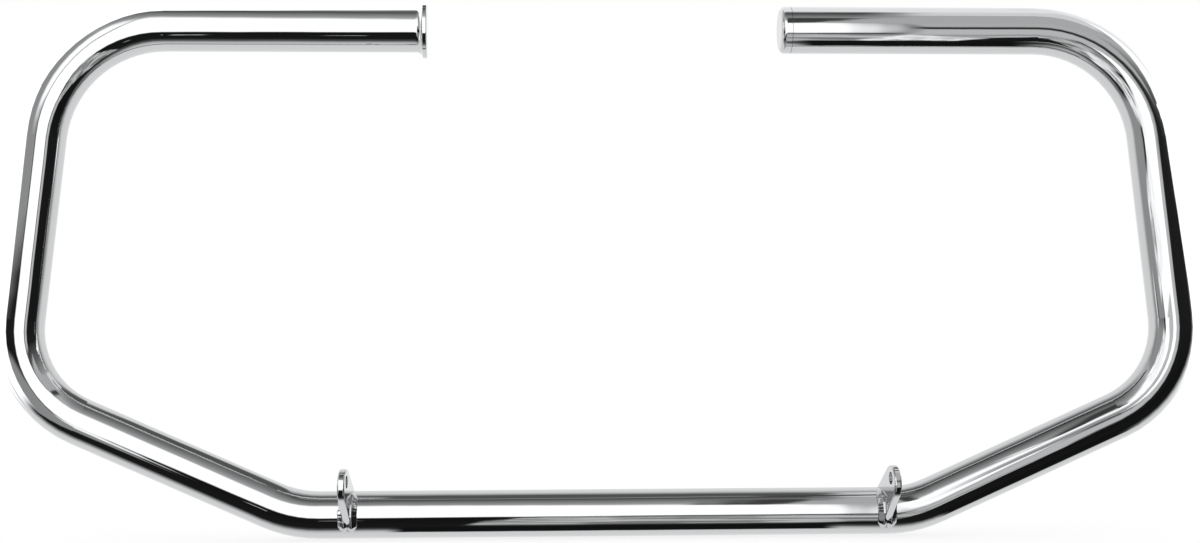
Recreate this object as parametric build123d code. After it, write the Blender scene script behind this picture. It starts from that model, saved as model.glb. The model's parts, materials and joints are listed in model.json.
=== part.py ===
from build123d import *
import os
from math import atan2, cos, radians, sin, tan

# Chrome engine guard: one bent tube, a plug in each arm's open end and two welded tabs.
# Millimetres. X runs across the motorcycle, Y towards its rear and Z up.
# The origin is the middle of the crossbar, on the tube's axis.

# Tube
tube_diameter = 31.75
tube_wall = 2.1

# Corners of the tube's centre line, each measured from the middle of the crossbar
crossbar_half_length = 207.5
outer_corner_out = 393.0
outer_corner_rise = 83.0
top_corner_out = 364.5
arm_rise = 325.0
arm_end_gap = 237.0

# Centre line radii of the bends
lower_bend_radius = 80.0
outer_bend_radius = 66.0
top_bend_radius = 82.0

# Plugs in the arm ends
plug_head_length = 7.5
plug_spigot_length = 14.0
plug_clearance = 0.05
flange_diameter = 39.6
flange_rim_length = 2.8
flange_edge_radius = 0.7
cap_edge_radius = 3.5
cap_seam_bevel = 0.4

# Mounting tabs: upright plates across the front of the crossbar, with their front edges toed out a little,
# each at its own distance from where the crossbar starts to bend
tab_thickness = 5.0
left_tab_to_bend = 20.5
right_tab_to_bend = 3.4
tab_turn = 6.0
tab_edge_radius = 1.2

# Outline of a tab in its own plane, measured forwards and upwards from the tube's axis
hole_diameter = 8.4
hole_forward = 31.4
hole_rise = 25.0
ear_radius = 12.0
ear_forward = 28.8
ear_rise = 21.3
heel_radius = 2.0
heel_forward = 1.0
heel_rise = 14.7
toe_radius = 2.5
toe_forward = 11.0
toe_drop = 6.5

# Weld beads beside the tabs: their ends are angles above and below the tube's front,
# and a ball placed in the tab's plane trims both ends to a taper
bead_width = 5.0
bead_height = 3.8
bead_upper_end = 80.0
bead_lower_end = 50.0
bead_ball_radius = 14.0
bead_ball_forward = 10.0
bead_ball_rise = 2.5

# Sizes that follow from those above
tube_radius = tube_diameter / 2
bore_radius = tube_radius - tube_wall
spigot_radius = bore_radius - plug_clearance
flange_radius = flange_diameter / 2
arm_face_out = arm_end_gap / 2
tube_end_out = arm_face_out + plug_head_length
slant_angle = atan2(outer_corner_rise, outer_corner_out - crossbar_half_length)
lower_bend_start = crossbar_half_length - lower_bend_radius * tan(slant_angle / 2)


def centre_line():
    """The tube's centre line, from the left arm's end round to the right arm's end."""
    right_half = [
        (crossbar_half_length, 0, 0),
        (outer_corner_out, 0, outer_corner_rise),
        (top_corner_out, 0, arm_rise),
        (tube_end_out, 0, arm_rise),
    ]
    left_half = [(-x, y, z) for x, y, z in reversed(right_half)]
    bends = [lower_bend_radius, outer_bend_radius, top_bend_radius]
    return FilletPolyline(*left_half, *right_half, radius=[*reversed(bends), *bends])


def swept_rod(path, radius):
    """A solid rod of a round section along a path."""
    section = Plane(origin=path @ 0, z_dir=path % 0) * Circle(radius)
    return sweep(section, path=path)


def turned_plug(head_profile):
    """A plug turned about X, with its shoulder at X = 0 and its spigot behind it."""
    with BuildPart() as piece:
        with BuildSketch(Plane.XY):
            with BuildLine():
                head_profile()
                Line((plug_head_length, 0), (-plug_spigot_length, 0))
                Line((-plug_spigot_length, 0), (-plug_spigot_length, spigot_radius))
                Line((-plug_spigot_length, spigot_radius), (0, spigot_radius))
            make_face()
        revolve(axis=Axis.X)
    return piece.part


def flange_profile():
    """From the shoulder out along a flared neck to a flat round flange."""
    neck_end = (plug_head_length - flange_rim_length, flange_radius)
    face_start = (plug_head_length, flange_radius - flange_edge_radius)
    Line((0, spigot_radius), (0, tube_radius))
    TangentArc((0, tube_radius), neck_end, tangent=(1, 0))
    Line(neck_end, (plug_head_length - flange_edge_radius, flange_radius))
    RadiusArc((plug_head_length - flange_edge_radius, flange_radius), face_start, flange_edge_radius)
    Line(face_start, (plug_head_length, 0))


def cap_profile():
    """From a bevelled seam along the tube's own size to a flat face with a well rounded edge."""
    edge_start = (plug_head_length - cap_edge_radius, tube_radius)
    face_start = (plug_head_length, tube_radius - cap_edge_radius)
    Line((0, spigot_radius), (0, tube_radius - cap_seam_bevel))
    Line((0, tube_radius - cap_seam_bevel), (cap_seam_bevel, tube_radius))
    Line((cap_seam_bevel, tube_radius), edge_start)
    RadiusArc(edge_start, face_start, cap_edge_radius)
    Line(face_start, (plug_head_length, 0))


def tab_plane(out):
    """The middle plane of a right-hand tab, whose X runs forwards in the plate and Y upwards."""
    turn = radians(tab_turn)
    forward = (sin(turn), -cos(turn), 0)
    inward = (-cos(turn), -sin(turn), 0)
    return Plane(origin=(out, 0, 0), x_dir=forward, z_dir=inward)


def right_hand_tab(out, rod):
    """A teardrop plate with a bolt hole in its ear, coped to fit the front of the tube."""
    plane = tab_plane(out)
    ear = Pos(ear_forward, ear_rise) * Circle(ear_radius)
    heel = Pos(heel_forward, heel_rise) * Circle(heel_radius)
    toe = Pos(toe_forward, -toe_drop) * Circle(toe_radius)
    outline = make_hull(ear.edges() + heel.edges() + toe.edges())
    plate = extrude(plane * outline, tab_thickness / 2, both=True)
    rims = plate.faces().filter_by(Axis(plane.origin, plane.z_dir)).edges()
    plate = fillet(rims, tab_edge_radius)
    hole = plane * Pos(hole_forward, hole_rise) * Circle(hole_diameter / 2)
    return plate - rod - extrude(hole, tab_thickness, both=True)


def right_hand_bead(out, side, tab, rod):
    """A weld bead along one face of a tab, in the corner between that face and the tube."""
    across = cos(radians(tab_turn))
    middle_plane = tab_plane(out)
    face_plane = tab_plane(out - side * tab_thickness / 2 / across)
    reach = bead_upper_end + bead_lower_end
    corner = face_plane * EllipticalCenterArc((0, 0), tube_radius / across, tube_radius, -bead_lower_end, arc_size=reach)
    diamond = Polygon((bead_width, 0), (0, bead_height), (-bead_width, 0), (0, -bead_height), align=None)
    section = Plane(origin=corner @ 0, x_dir=face_plane.z_dir, z_dir=corner % 0) * diamond
    own_side = extrude(middle_plane * Rectangle(4 * tube_diameter, 4 * tube_diameter), side * 4 * bead_width)
    ball = face_plane * Pos(bead_ball_forward, bead_ball_rise) * Sphere(bead_ball_radius)
    return (sweep(section, path=corner) & own_side & ball) - rod - tab


path = centre_line()
outer_rod = swept_rod(path, tube_radius)
inner_rod = swept_rod(path, bore_radius)
left_arm_end = Pos(-tube_end_out, 0, arm_rise)
right_arm_end = Pos(tube_end_out, 0, arm_rise) * Rot(0, 0, 180)

nodes = {
    "main_tube": outer_rod - inner_rod,
    "left_end_flange": left_arm_end * turned_plug(flange_profile),
    "right_end_cap": right_arm_end * turned_plug(cap_profile),
}
for name, to_bend, mirrored in (("left", left_tab_to_bend, True), ("right", right_tab_to_bend, False)):
    out = lower_bend_start - to_bend
    tab = right_hand_tab(out, outer_rod)
    pieces = {f"{name}_tab": tab}
    for place, side in (("inner", 1), ("outer", -1)):
        pieces[f"{name}_tab_{place}_weld"] = right_hand_bead(out, side, tab, outer_rod)
    for node, piece in pieces.items():
        nodes[node] = mirror(piece, about=Plane.YZ) if mirrored else piece

os.makedirs("parts", exist_ok=True)
for node, piece in nodes.items():
    export_step(piece, f"parts/{node}.step")
    state = "valid" if piece.is_valid else "not valid"
    print(f"{node}: {piece.volume:.1f} mm3, {len(piece.solids())} solid, {state}")
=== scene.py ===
# %% [markdown]
# A chrome engine guard for a motorcycle
#
# The guard is one bent steel tube with a plug in each arm and two welded tabs, all chrome plated.
# The CAD model gives every shape and place, and this script dresses it: it makes the ripples of the
# weld beads, the chrome finishes, the studio that the chrome reflects, and the camera.
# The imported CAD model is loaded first, as a fixed frame that is never moved.

# %% Load the CAD frame
import json
from math import cos, pi, radians, sin

import bpy
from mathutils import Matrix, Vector


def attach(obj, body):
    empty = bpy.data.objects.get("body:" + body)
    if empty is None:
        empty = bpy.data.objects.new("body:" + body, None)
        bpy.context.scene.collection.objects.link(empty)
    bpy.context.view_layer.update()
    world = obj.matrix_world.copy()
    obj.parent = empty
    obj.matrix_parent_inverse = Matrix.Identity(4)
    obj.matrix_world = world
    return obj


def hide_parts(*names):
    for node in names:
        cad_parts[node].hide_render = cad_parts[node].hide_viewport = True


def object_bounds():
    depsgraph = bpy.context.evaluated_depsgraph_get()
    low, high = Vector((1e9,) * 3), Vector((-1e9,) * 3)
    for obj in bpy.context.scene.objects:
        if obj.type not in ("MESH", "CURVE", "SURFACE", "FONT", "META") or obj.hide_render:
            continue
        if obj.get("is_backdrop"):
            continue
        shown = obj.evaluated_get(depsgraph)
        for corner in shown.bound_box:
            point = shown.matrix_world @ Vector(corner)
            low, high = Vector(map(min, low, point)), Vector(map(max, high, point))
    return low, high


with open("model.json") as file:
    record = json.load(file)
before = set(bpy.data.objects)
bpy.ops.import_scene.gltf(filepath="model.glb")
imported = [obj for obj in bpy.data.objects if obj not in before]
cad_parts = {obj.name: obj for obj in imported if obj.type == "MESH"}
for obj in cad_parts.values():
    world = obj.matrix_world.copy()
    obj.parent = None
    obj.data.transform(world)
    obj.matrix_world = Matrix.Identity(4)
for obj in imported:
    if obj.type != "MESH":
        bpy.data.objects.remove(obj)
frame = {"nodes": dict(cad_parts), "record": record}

cad_low, cad_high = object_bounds()
print("CAD nodes:", ", ".join(sorted(frame["nodes"])))

# %% [markdown]
# Camera
#
# The photograph was taken from about 1.4 m away, level with the middle of the guard and a little to
# its left. A level camera keeps the guard's upright lines upright. The place could be found by eye, but
# a fit of the tube's centre line to the photograph is surer, and these values come from one.
# Sizes are written in millimetres, as on a drawing, and Blender works in metres.

# %% Camera
MM = 0.001
IMAGE_WIDTH_PX = 1200
SENSOR_WIDTH = 36.0
CAMERA_PLACE = Vector((-76.9, -1400.0, 162.2)) * MM
CAMERA_TURN = radians(3.02)
CAMERA_ROLL = radians(0.12)
FOCAL_PX = 2085.0

scene = bpy.context.scene
camera_data = bpy.data.cameras.new("camera")
camera_data.sensor_fit = "HORIZONTAL"
camera_data.sensor_width = SENSOR_WIDTH
camera_data.lens = FOCAL_PX * SENSOR_WIDTH / IMAGE_WIDTH_PX
camera_data.clip_start = 0.05
camera_data.clip_end = 50.0
camera = bpy.data.objects.new("camera", camera_data)
camera.location = CAMERA_PLACE
camera.rotation_euler = (radians(90), CAMERA_ROLL, -CAMERA_TURN)
scene.collection.objects.link(camera)
scene.camera = camera
print(f"camera lens {camera_data.lens:.1f} mm")

# %% [markdown]
# Colours and nodes
#
# A finish in Blender is a tree of nodes. It could be wired by hand in the editor, but a script keeps
# every value in sight. One small function adds a node, sets it and links it, so that a tree reads
# from top to bottom. Another turns sRGB hex colours, as any paint program gives them, into the linear
# light that Blender works in.

# %% Helpers for colours and nodes
def linear(hex_colour):
    """An sRGB hex colour as linear RGBA."""
    channels = [int(hex_colour[i:i + 2], 16) / 255 for i in (1, 3, 5)]
    return [c / 12.92 if c <= 0.04045 else ((c + 0.055) / 1.055) ** 2.4 for c in channels] + [1.0]


def add_node(tree, kind, inputs=None, **settings):
    """Adds a node; each input is a value or another node's output socket."""
    made = tree.nodes.new(kind)
    for name, value in settings.items():
        setattr(made, name, value)
    for socket, value in (inputs or {}).items():
        if isinstance(value, bpy.types.NodeSocket):
            tree.links.new(value, made.inputs[socket])
        else:
            made.inputs[socket].default_value = value
    return made


def new_material(name):
    """A material with an empty node tree, and that tree."""
    material = bpy.data.materials.new(name)
    material.use_nodes = True
    material.node_tree.nodes.clear()
    return material, material.node_tree


WHITE = linear("#FFFFFF")
print("white in linear light:", WHITE)

# %% [markdown]
# Polished chrome plate
#
# Chrome is a thin bright metal over polished steel. It has almost no colour of its own: it is a mirror
# that gives back about six tenths of the light, so its look is the room's look.
# Polishing by hand leaves the steel a little wavy and leaves a slight haze that comes and goes.
# A perfect mirror would be simpler, but it looks drawn. So fine waves bend the straight reflections a
# little, and the roughness follows the haze.

# %% Chrome finish
HAZE_LOW, HAZE_HIGH = 0.3, 0.7
WAVES_PER_PATCH = 1.6


def chrome(name, colour, roughness_low, roughness_high, patch, wave_height):
    """Chrome whose haze and waves vary over patches of a real size."""
    material, tree = new_material(name)
    place = add_node(tree, "ShaderNodeTexCoord").outputs["Object"]
    haze = add_node(tree, "ShaderNodeTexNoise", {"Vector": place, "Scale": 1 / patch, "Detail": 3.0})
    rough = add_node(tree, "ShaderNodeMapRange", {
        "Value": haze.outputs["Fac"], "From Min": HAZE_LOW, "From Max": HAZE_HIGH,
        "To Min": roughness_low, "To Max": roughness_high})
    waves = add_node(tree, "ShaderNodeTexNoise", {
        "Vector": place, "Scale": WAVES_PER_PATCH / patch, "Detail": 1.0})
    bump = add_node(tree, "ShaderNodeBump", {
        "Height": waves.outputs["Fac"], "Distance": wave_height, "Strength": 1.0})
    shader = add_node(tree, "ShaderNodeBsdfPrincipled", {
        "Base Color": linear(colour), "Metallic": 1.0, "Roughness": rough.outputs["Result"],
        "Normal": bump.outputs["Normal"]})
    add_node(tree, "ShaderNodeOutputMaterial", {"Surface": shader.outputs["BSDF"]})
    return material


# A clear mirror with soft, barely wavy reflections
chrome_plate = chrome("polished_chrome_plate", "#CBCCCD", 0.02, 0.07, 60 * MM, 0.3 * MM)
# The same plate over an unpolished weld: duller, with blurred reflections
chrome_weld = chrome("chrome_over_weld", "#C3C4C6", 0.08, 0.16, 6 * MM, 0.05 * MM)
for name, node in frame["nodes"].items():
    finish = chrome_weld if name.endswith("weld") else chrome_plate
    node.data.materials.clear()
    node.data.materials.append(finish)
print("finishes:", chrome_plate.name, chrome_weld.name)

# %% [markdown]
# Where the welds run
#
# Each tab is held by a fillet weld on either side, in the corner between the plate and the tube.
# The corner could be traced from the CAD bead, but the record's numbers give it exactly: the face of
# the plate, found from the tab's hole, cuts the tube's round in an ellipse. The line also carries the
# way outwards from the tube at each of its points.

# %% Path of a weld
TUBE_RADIUS = 15.875 * MM
WELD_FROM = radians(-43)
WELD_TO = radians(74)
WELD_STEPS = 48


def weld_path(name, hole, side):
    """The corner between the tube and one face of a tab, as a line that knows its way outwards."""
    normal = Vector(hole["axis"]) * side
    face = Vector(hole["pos_m"]) + normal * hole["dims"]["length_mm"] / 2 * MM
    spots = []
    outward = []
    for step in range(WELD_STEPS + 1):
        angle = WELD_FROM + (WELD_TO - WELD_FROM) * step / WELD_STEPS
        radial = Vector((0, -cos(angle), sin(angle)))
        spot = radial * TUBE_RADIUS
        spot.x = face.x - normal.y * (spot.y - face.y) / normal.x
        spots.append(spot)
        outward.append(radial)
    mesh = bpy.data.meshes.new(name)
    mesh.from_pydata(spots, [(i, i + 1) for i in range(WELD_STEPS)], [])
    ways = mesh.attributes.new("outward", "FLOAT_VECTOR", "POINT")
    for i, way in enumerate(outward):
        ways.data[i].vector = way
    return mesh


holes = {mount["name"]: mount for mount in frame["record"]["mounts"]}
print("weld paths of", WELD_STEPS, "steps round the tube")

# %% [markdown]
# Weld beads
#
# The welder drags a small pool of molten steel along the corner, and it freezes in fine ripples, one
# behind the other. Grinding and plating soften them. A bead could be sculpted by hand, but a Geometry
# Nodes tree can draw all four along their paths, with their sizes as named inputs.
# Its first part sets the size of the section along the bead: smaller at both ends, where the arc was
# struck and left off, and a little uneven in between.

# %% Bead tree: settings and size along the bead
BEAD_POINTS = 140
START_TAPER, START_SIZE = 0.2, 0.3  # shares of the bead's length and of its full section
END_TAPER, END_SIZE = 0.25, 0.25
WANDER_LENGTH = 4 * MM
WANDER_LOW, WANDER_HIGH = 0.86, 1.06

beads = bpy.data.node_groups.new("weld_bead", "GeometryNodeTree")
beads.is_modifier = True
bead_inputs = {
    "Path": "Geometry", "Half width": "Float", "Height": "Float", "Edge radius": "Float",
    "Ripple pitch": "Float", "Ripple height": "Float", "Seed": "Float", "Finish": "Material"}
for name, kind in bead_inputs.items():
    beads.interface.new_socket(name, in_out="INPUT", socket_type="NodeSocket" + kind)
beads.interface.new_socket("Bead", in_out="OUTPUT", socket_type="NodeSocketGeometry")

given = add_node(beads, "NodeGroupInput").outputs
corner = add_node(beads, "GeometryNodeMeshToCurve", {"Mesh": given["Path"]})
fine = add_node(beads, "GeometryNodeResampleCurve", {
    "Curve": corner.outputs["Curve"], "Count": BEAD_POINTS}, mode="COUNT")
along = add_node(beads, "GeometryNodeSplineParameter").outputs
start = add_node(beads, "ShaderNodeMapRange", {
    "Value": along["Factor"], "From Max": START_TAPER, "To Min": START_SIZE},
    interpolation_type="SMOOTHSTEP")
end = add_node(beads, "ShaderNodeMapRange", {
    "Value": along["Factor"], "From Min": 1.0, "From Max": 1.0 - END_TAPER, "To Min": END_SIZE},
    interpolation_type="SMOOTHSTEP")
place = add_node(beads, "ShaderNodeMath", {
    0: along["Length"], 1: 1 / WANDER_LENGTH, 2: given["Seed"]}, operation="MULTIPLY_ADD")
wander = add_node(beads, "ShaderNodeTexNoise", {
    "W": place.outputs[0], "Scale": 1.0, "Detail": 1.0}, noise_dimensions="1D")
uneven = add_node(beads, "ShaderNodeMapRange", {
    "Value": wander.outputs["Fac"], "To Min": WANDER_LOW, "To Max": WANDER_HIGH})
taper = add_node(beads, "ShaderNodeMath", {
    0: start.outputs["Result"], 1: end.outputs["Result"]}, operation="MULTIPLY")
size = add_node(beads, "ShaderNodeMath", {
    0: taper.outputs[0], 1: uneven.outputs["Result"]}, operation="MULTIPLY")
print("bead settings:", ", ".join(bead_inputs))

# %% [markdown]
# Section and ripples
#
# The section is a kite with rounded corners, drawn along the path with a point outwards. Most of it
# lies inside the tube and the plate, as a real weld goes into both.
# A sine wave along the bead then lifts the surface by about a hundredth of a millimetre, at a fixed
# pitch. That is too little to change the outline, and enough for the chrome to show it.

# %% Bead tree: section, ripples and finish
EDGE_POINTS = 5

outward = add_node(beads, "GeometryNodeInputNamedAttribute", {
    "Name": "outward"}, data_type="FLOAT_VECTOR").outputs[0]
upright = add_node(beads, "GeometryNodeSetCurveNormal", {
    "Curve": fine.outputs["Curve"], "Normal": outward}, mode="FREE")
marked = add_node(beads, "GeometryNodeStoreNamedAttribute", {
    "Geometry": upright.outputs["Curve"], "Name": "travel", "Value": along["Length"]},
    data_type="FLOAT", domain="POINT")
across = add_node(beads, "ShaderNodeMath", {0: given["Height"], 1: 2.0}, operation="MULTIPLY")
kite = add_node(beads, "GeometryNodeCurvePrimitiveQuadrilateral", {
    "Width": across.outputs[0],
    "Bottom Height": given["Half width"], "Top Height": given["Half width"]}, mode="KITE")
rounded = add_node(beads, "GeometryNodeFilletCurve", {
    "Curve": kite.outputs["Curve"], "Count": EDGE_POINTS, "Radius": given["Edge radius"],
    "Limit Radius": True}, mode="POLY")
drawn = add_node(beads, "GeometryNodeCurveToMesh", {
    "Curve": marked.outputs["Geometry"], "Profile Curve": rounded.outputs["Curve"],
    "Scale": size.outputs[0], "Fill Caps": True})
travel = add_node(beads, "GeometryNodeInputNamedAttribute", {
    "Name": "travel"}, data_type="FLOAT").outputs[0]
turns = add_node(beads, "ShaderNodeMath", {0: travel, 1: given["Ripple pitch"]}, operation="DIVIDE")
angle = add_node(beads, "ShaderNodeMath", {0: turns.outputs[0], 1: 2 * pi}, operation="MULTIPLY")
wave = add_node(beads, "ShaderNodeMath", {0: angle.outputs[0]}, operation="SINE")
rise = add_node(beads, "ShaderNodeMath", {
    0: wave.outputs[0], 1: given["Ripple height"]}, operation="MULTIPLY")
facing = add_node(beads, "GeometryNodeInputNormal").outputs["Normal"]
raised = add_node(beads, "ShaderNodeVectorMath", {
    0: facing, "Scale": rise.outputs[0]}, operation="SCALE")
rippled = add_node(beads, "GeometryNodeSetPosition", {
    "Geometry": drawn.outputs["Mesh"], "Offset": raised.outputs["Vector"]})
smooth = add_node(beads, "GeometryNodeSetShadeSmooth", {"Geometry": rippled.outputs["Geometry"]})
real = add_node(beads, "GeometryNodeRealizeInstances", {"Geometry": smooth.outputs["Geometry"]})
plated = add_node(beads, "GeometryNodeSetMaterial", {
    "Geometry": real.outputs["Geometry"], "Material": given["Finish"]})
add_node(beads, "NodeGroupOutput", {"Bead": plated.outputs["Geometry"]})
print("bead tree of", len(beads.nodes), "nodes")

# %% [markdown]
# Four beads in place of the plain ones
#
# Each bead is drawn along its own path with its own seed, so no two are alike. It could stay a live
# modifier, but an export needs meshes. So it is kept as a plain mesh, it rides on the guard's only
# body, and it takes the place of the CAD model's plain bead.

# %% The four beads
BEAD_SIZES = {
    "Half width": 4.9 * MM, "Height": 3.7 * MM, "Edge radius": 1.2 * MM,
    "Ripple pitch": 1.7 * MM, "Ripple height": 0.012 * MM}
SEED_STEP = 10.0
socket_ids = {
    item.name: item.identifier for item in beads.interface.items_tree if item.in_out == "INPUT"}


def weld_bead(node, hole, side, seed):
    """Draws one weld and keeps it as a plain mesh in the CAD bead's place."""
    line = bpy.data.objects.new(node + "_line", weld_path(node + "_line", hole, side))
    scene.collection.objects.link(line)
    modifier = line.modifiers.new("bead", "NODES")
    modifier.node_group = beads
    for name, value in {**BEAD_SIZES, "Seed": seed, "Finish": chrome_weld}.items():
        modifier[socket_ids[name]] = value
    bpy.context.view_layer.update()
    result = line.evaluated_get(bpy.context.evaluated_depsgraph_get())
    mesh = bpy.data.meshes.new_from_object(result)
    line.modifiers.remove(modifier)
    bpy.data.objects.remove(line)
    made = bpy.data.objects.new(node + "_bead", mesh)
    scene.collection.objects.link(made)
    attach(made, "root")
    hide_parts(node)
    print(made.name, len(mesh.polygons), "faces")


seed = 0.0
for tab in ("left", "right"):
    for place, side in (("inner", 1), ("outer", -1)):
        weld_bead(f"{tab}_tab_{place}_weld", holes[f"{tab}_tab_hole"], side, seed)
        seed += SEED_STEP

# %% [markdown]
# The room
#
# Chrome shows what stands round it. A picture of a real studio could stand there, but a few graded
# values are enough and are easy to change. The room is white behind the guard and dark in front, and
# the dark draws the black lines along the tube. In front it grows lighter upwards and is dark again
# overhead, but for a thin light ring, and a pale floor shows only straight below.
# A dark beam crosses the ceiling on the right, for the left slant's upper side, which looks that way.
# The camera itself sees plain white, as in a picture for a catalogue.

# %% World
BACKDROP_LEAN = -0.3
BACKDROP_LOW, BACKDROP_HIGH = -0.1, 0.48
FRONT_GREYS = [  # the upward part of the direction, and the room's brightness there
    (-1.0, 0.75), (-0.985, 0.55), (-0.93, 0.12), (-0.85, 0.015), (-0.3, 0.01), (0.1, 0.02), (0.35, 0.2),
    (0.6, 0.6), (0.66, 0.65), (0.8, 0.45), (0.92, 0.26), (0.988, 0.08), (1.0, 0.05)]
BEAM_FADES = {"X": (0.19, 0.25), "Y": (-0.05, 0.12), "Z": (0.6, 0.8)}
BEAM_COLOUR = (0.13, 0.13, 0.13, 1)

world = bpy.data.worlds.new("studio")
scene.world = world
world.use_nodes = True
sky = world.node_tree
sky.nodes.clear()
direction = add_node(sky, "ShaderNodeTexCoord").outputs["Generated"]
axes = add_node(sky, "ShaderNodeSeparateXYZ", {"Vector": direction}).outputs
tilt = add_node(sky, "ShaderNodeMath", {
    0: axes["Z"], 1: BACKDROP_LEAN, 2: axes["Y"]}, operation="MULTIPLY_ADD")
behind = add_node(sky, "ShaderNodeMapRange", {
    "Value": tilt.outputs[0], "From Min": BACKDROP_LOW, "From Max": BACKDROP_HIGH},
    interpolation_type="SMOOTHSTEP")
height = add_node(sky, "ShaderNodeMapRange", {"Value": axes["Z"], "From Min": -1.0, "From Max": 1.0})
front = add_node(sky, "ShaderNodeValToRGB", {"Fac": height.outputs["Result"]})
ramp = front.color_ramp
for place, value in FRONT_GREYS:
    stop = ramp.elements.new((place + 1) / 2)
    stop.color = (value, value, value, 1)
# Of the ramp's own two stops the black one goes, and the white one stays to make the ring overhead
ramp.elements.remove(ramp.elements[0])
open_room = add_node(sky, "ShaderNodeMix", {
    "Factor": behind.outputs["Result"], "A": front.outputs["Color"], "B": WHITE}, data_type="RGBA")
beam = 1.0
for axis, (low, high) in BEAM_FADES.items():
    reach = add_node(sky, "ShaderNodeMapRange", {
        "Value": axes[axis], "From Min": low, "From Max": high}, interpolation_type="SMOOTHSTEP")
    beam = add_node(sky, "ShaderNodeMath", {
        0: reach.outputs["Result"], 1: beam}, operation="MULTIPLY").outputs[0]
room = add_node(sky, "ShaderNodeMix", {
    "Factor": beam, "A": open_room.outputs["Result"], "B": BEAM_COLOUR}, data_type="RGBA")
rays = add_node(sky, "ShaderNodeLightPath")
seen = add_node(sky, "ShaderNodeMix", {
    "Factor": rays.outputs["Is Glossy Ray"], "A": WHITE, "B": room.outputs["Result"]}, data_type="RGBA")
light = add_node(sky, "ShaderNodeBackground", {"Color": seen.outputs["Result"], "Strength": 1.0})
add_node(sky, "ShaderNodeOutputWorld", {"Surface": light.outputs["Background"]})
print("room of", len(FRONT_GREYS), "greys in front and white behind")

# %% [markdown]
# Cards
#
# Photographers light chrome with white cards, because the metal shows their shape and not the lamp's.
# Area lamps could do this, but they have hard edges. Each card here glows and fades out softly. A card
# that hardly glows is a flag: it hides something brighter from the chrome. A card can be broken into
# patches, as crumpled paper is, and it can be seen from one side alone. Only the chrome sees the cards.

# %% Card maker
SHARPEST_FADE = 0.001
PATCH_LOW, PATCH_HIGH = 0.42, 0.58
PATCH_DARKEST = 0.35


def glow(name, strength, along, across, softness, patch, one_sided):
    """Light that fades out towards a card's edges, and is broken into patches when they have a size."""
    material, tree = new_material(name)
    place = add_node(tree, "ShaderNodeUVMap").outputs["UV"]
    axes = add_node(tree, "ShaderNodeSeparateXYZ", {"Vector": place}).outputs
    fades = []
    for axis, length, (low, high) in (("X", along, softness[:2]), ("Y", across, softness[2:])):
        for edge, inwards, width in ((0.0, 1, low), (1.0, -1, high)):
            reach = max(width / length, SHARPEST_FADE)
            fades.append(add_node(tree, "ShaderNodeMapRange", {
                "Value": axes[axis], "From Min": edge, "From Max": edge + inwards * reach},
                interpolation_type="SMOOTHSTEP").outputs["Result"])
    if patch:
        spot = add_node(tree, "ShaderNodeTexCoord").outputs["Object"]
        cloud = add_node(tree, "ShaderNodeTexNoise", {
            "Vector": spot, "Scale": 1 / (patch * MM), "Detail": 4.0, "Roughness": 0.6})
        fades.append(add_node(tree, "ShaderNodeMapRange", {
            "Value": cloud.outputs["Fac"], "From Min": PATCH_LOW, "From Max": PATCH_HIGH,
            "To Min": PATCH_DARKEST}, interpolation_type="SMOOTHSTEP").outputs["Result"])
    if one_sided:
        back = add_node(tree, "ShaderNodeNewGeometry").outputs["Backfacing"]
        fades.append(add_node(tree, "ShaderNodeMath", {0: 1.0, 1: back}, operation="SUBTRACT").outputs[0])
    cover = fades[0]
    for fade in fades[1:]:
        cover = add_node(tree, "ShaderNodeMath", {0: cover, 1: fade}, operation="MULTIPLY").outputs[0]
    clear = add_node(tree, "ShaderNodeBsdfTransparent")
    bright = add_node(tree, "ShaderNodeEmission", {"Color": WHITE, "Strength": strength})
    mixed = add_node(tree, "ShaderNodeMixShader", {
        0: cover, 1: clear.outputs["BSDF"], 2: bright.outputs["Emission"]})
    add_node(tree, "ShaderNodeOutputMaterial", {"Surface": mixed.outputs["Shader"]})
    return material


def card(name, corners, strength, softness, patch=0, one_sided=False):
    """A flat glowing card, in millimetres.

    The corners run along its foot and back along its top. The softness is the width of the fade
    at the foot's start and end, at the foot and at the top.
    """
    points = [Vector(c) * MM for c in corners]
    mesh = bpy.data.meshes.new(name)
    mesh.from_pydata(points, [], [(0, 1, 2, 3)])
    uv = mesh.uv_layers.new(name="UVMap")
    for loop, place in zip(uv.data, ((0, 0), (1, 0), (1, 1), (0, 1))):
        loop.uv = place
    along = (points[1] - points[0]).length / MM
    across = (points[3] - points[0]).length / MM
    mesh.materials.append(glow(name, strength, along, across, softness, patch, one_sided))
    made = bpy.data.objects.new(name, mesh)
    scene.collection.objects.link(made)
    made.visible_camera = False
    made.visible_diffuse = False
    made.visible_shadow = False
    made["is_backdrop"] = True
    print("card", name)


# %% [markdown]
# Softbox, walls and ceiling
#
# A big softbox in front, up and to the left, makes the broad white band that runs along the tube.
# Grey walls on the left and dimmer panels on the right stand round it, so the two legs differ.
# A ceiling on the right lights the right arm's upper side, with a dark flag along its inner edge.

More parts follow.
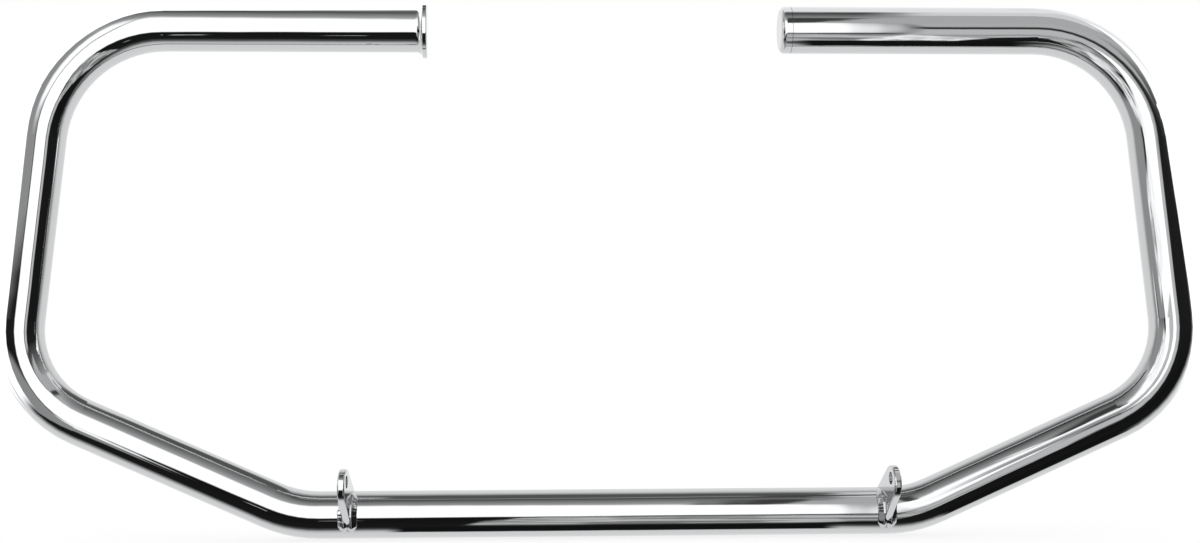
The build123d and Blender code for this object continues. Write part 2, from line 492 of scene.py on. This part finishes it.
# %% Softbox, walls and ceiling
card("front_softbox", [(-700, -935, -270), (600, -1744, -270), (600, -1744, 1600), (-700, -935, 1600)],
     strength=1.75, softness=(90, 220, 120, 500))
card("softbox_foot", [(-820, -880, -500), (-590, -1010, -500), (-590, -1010, -200), (-820, -880, -200)],
     strength=1.5, softness=(60, 60, 130, 10))
card("left_wall", [(-1400, 0, 150), (-720, -930, 150), (-720, -930, 1300), (-1400, 0, 1300)],
     strength=0.42, softness=(60, 10, 130, 200))
card("left_wall_low", [(-1250, -300, -650), (-690, -925, -650), (-690, -925, 20), (-1250, -300, 20)],
     strength=0.4, softness=(100, 40, 100, 90))
card("softbox_shoulder", [(-945, -600, 340), (-690, -925, 340), (-690, -925, 1500), (-945, -600, 1500)],
     strength=1.75, softness=(200, 5, 150, 500))
card("right_panel_high", [(500, -1500, 560), (1500, -1300, 560), (1500, -1300, 2200), (500, -1500, 2200)],
     strength=0.65, softness=(60, 200, 150, 300))
card("right_panel_low", [(480, -1500, -340), (900, -1450, -340), (900, -1450, 430), (480, -1500, 430)],
     strength=0.75, softness=(60, 120, 10, 150))
card("right_ceiling_front", [(270, -1150, 900), (900, -1150, 900), (900, -200, 900), (270, -200, 900)],
     strength=0.62, softness=(80, 150, 200, 5))
card("right_ceiling_back", [(270, -200, 900), (900, -200, 900), (900, 350, 900), (270, 350, 900)],
     strength=1.0, softness=(80, 150, 5, 100))
card("ceiling_flag", [(150, -1100, 850), (310, -1100, 850), (310, -330, 850), (150, -330, 850)],
     strength=0.07, softness=(80, 40, 150, 80))

# %% [markdown]
# Paper, streaks and small flags
#
# The photograph's chrome also shows small things that lay about. Crumpled paper on the floor breaks
# up the light in the crossbar's lower half, and a smaller piece does so in the bend at the top right.
# Thin streaks and a dark flag draw the fine lines along the right slant, and two short streaks lie on
# the floor on the left. A grey panel fills the right leg's inner side, and a narrow shade keeps the
# crossbar's underside dark.

# %% Paper, streaks and small flags
card("floor_paper", [(-20, -1600, -330), (950, -1500, -330), (230, -330, -470), (-115, -330, -470)],
     strength=0.8, softness=(60, 60, 10, 150), patch=150)
card("floor_streak_left", [(-432, -770, -300), (-392, -770, -300), (-392, -650, -300), (-432, -650, -300)],
     strength=0.7, softness=(15, 15, 40, 40))
card("floor_streak_right", [(-265, -745, -300), (-205, -745, -300), (-205, -675, -300), (-265, -675, -300)],
     strength=0.6, softness=(20, 20, 25, 25))
card("slant_flag", [(205, -122, 28), (366, -122, 100), (366, -122, 142), (205, -122, 70)],
     strength=0.04, softness=(100, 14, 3, 6))
card("slant_streak_low", [(205, -120, 32), (366, -120, 104), (366, -120, 118), (205, -120, 46)],
     strength=0.7, softness=(100, 14, 5, 5))
card("slant_streak_high", [(205, -120, 48), (366, -120, 120), (366, -120, 146), (205, -120, 74)],
     strength=0.8, softness=(100, 14, 5, 8))
card("right_inner_panel", [(100, -215, 70), (100, 25, 70), (100, 25, 275), (100, -215, 275)],
     strength=0.42, softness=(60, 5, 60, 15), one_sided=True)
card("corner_paper", [(319, -185, 164), (259, -82, 110), (179, -82, 198), (239, -185, 252)],
     strength=1.4, softness=(15, 15, 15, 15), patch=30, one_sided=True)
card("crossbar_shade", [(-150, -36, -40), (165, -36, -40), (165, -10, -40), (-150, -10, -40)],
     strength=0.01, softness=(15, 15, 3, 4))

# %% [markdown]
# Cards beside the outline
#
# In the photograph the tube's outer edge is as white as the ground behind it, so the outline melts
# away there. Flat white cards stand just behind the guard and beside it, outside its outline, and the
# chrome's outer edge reflects them. They are dimmer at the right arm, whose edge is greyer.

# %% Cards behind and beside the outline
card("left_arm_back", [(-300, 22, 343), (-95, 22, 343), (-95, 22, 410), (-300, 22, 410)],
     strength=2.0, softness=(20, 5, 1, 10))
card("left_corner_back", [(-458, 28, 232), (-216, 28, 402), (-302, 28, 525), (-544, 28, 355)],
     strength=2.0, softness=(20, 20, 2, 20))
card("left_leg_back", [(-424, 24, 20), (-383, 24, 300), (-570, 24, 328), (-611, 24, 48)],
     strength=2.0, softness=(60, 20, 2, 20))
card("left_arm_side", [(-95, 22, 385), (-330, 22, 385), (-330, -22, 385), (-95, -8, 385)],
     strength=2.0, softness=(0, 20, 0, 4))
card("left_corner_side", [(-330, 30, 519), (-512, 30, 358), (-512, -75, 358), (-330, -35, 519)],
     strength=2.0, softness=(0, 0, 0, 12))
card("left_leg_side", [(-512, 30, 358), (-563, 30, -80), (-563, -130, -80), (-512, -75, 358)],
     strength=2.0, softness=(0, 90, 0, 12))
card("right_arm_back", [(95, 22, 343), (300, 22, 343), (300, 22, 410), (95, 22, 410)],
     strength=1.2, softness=(5, 20, 1, 10))
card("right_corner_back", [(216, 28, 402), (458, 28, 232), (544, 28, 355), (302, 28, 525)],
     strength=1.25, softness=(110, 20, 2, 20))
card("right_leg_back", [(376, 24, 345), (424, 24, 40), (611, 24, 68), (563, 24, 373)],
     strength=2.0, softness=(60, 60, 2, 20))
card("right_arm_side", [(330, 22, 385), (95, 22, 385), (95, -12, 385), (330, -12, 385)],
     strength=1.2, softness=(20, 5, 0, 8))
card("right_corner_side", [(567, 60, 309), (380, 60, 475), (380, 40, 475), (567, -170, 309)],
     strength=1.8, softness=(0, 60, 0, 22))
card("right_leg_side", [(516, 60, 325), (540, 60, 110), (540, 50, 110), (516, -150, 325)],
     strength=2.0, softness=(5, 50, 0, 20))

# %% [markdown]
# Narrow dark cards
#
# The darkest lines on the crossbar, the right arm and the right slant need something dark very near.
# Three narrow flags, a little above or below the tube, hide the bright room from it there.

# %% Narrow dark cards
card("crossbar_flag", [(165, -14, 45), (-160, -14, 45), (-160, 2, 45), (165, 2, 45)],
     strength=0.13, softness=(20, 20, 4, 8), one_sided=True)
card("right_arm_shade", [(125, -36, 285), (320, -36, 285), (320, -10, 285), (125, -10, 285)],
     strength=0.01, softness=(20, 40, 3, 4))
card("right_slant_shade", [(400, -36, 42), (235, -36, -31), (235, -8, -31), (400, -8, 42)],
     strength=0.01, softness=(40, 15, 3, 4))

# %% [markdown]
# Floor
#
# The floor is plain, pale and a little lit from below, so that the camera sees it white with only a
# faint shadow. Without it the guard would hang in the air. The chrome doesn't show the floor, because
# the room already gives a pale one to its mirror.

# %% Floor
FLOOR_HALF = 6.0
FLOOR_GAP = 0.5 * MM
FLOOR_GLOW = 0.83

floor_level = cad_low.z - FLOOR_GAP
floor_corners = [
    (x * FLOOR_HALF, y * FLOOR_HALF, floor_level) for x, y in ((-1, -1), (1, -1), (1, 1), (-1, 1))]
floor_mesh = bpy.data.meshes.new("floor")
floor_mesh.from_pydata(floor_corners, [], [(0, 1, 2, 3)])
floor = bpy.data.objects.new("floor", floor_mesh)
scene.collection.objects.link(floor)
floor_finish, tree = new_material("pale_studio_floor")
matte = add_node(tree, "ShaderNodeBsdfDiffuse", {"Color": linear("#767676")})
lift = add_node(tree, "ShaderNodeEmission", {"Color": WHITE, "Strength": FLOOR_GLOW})
both = add_node(tree, "ShaderNodeAddShader", {0: matte.outputs["BSDF"], 1: lift.outputs["Emission"]})
add_node(tree, "ShaderNodeOutputMaterial", {"Surface": both.outputs["Shader"]})
floor_mesh.materials.append(floor_finish)
floor.visible_glossy = False
floor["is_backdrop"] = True
print("floor at", round(floor_level / MM, 2), "mm")

# %% [markdown]
# Finish
#
# The view transform is Standard, so that white paper stays white. The size of the dressed part is
# measured again at the end.

# %% View settings, sizes and finish
scene.view_settings.view_transform = "Standard"
low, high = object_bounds()
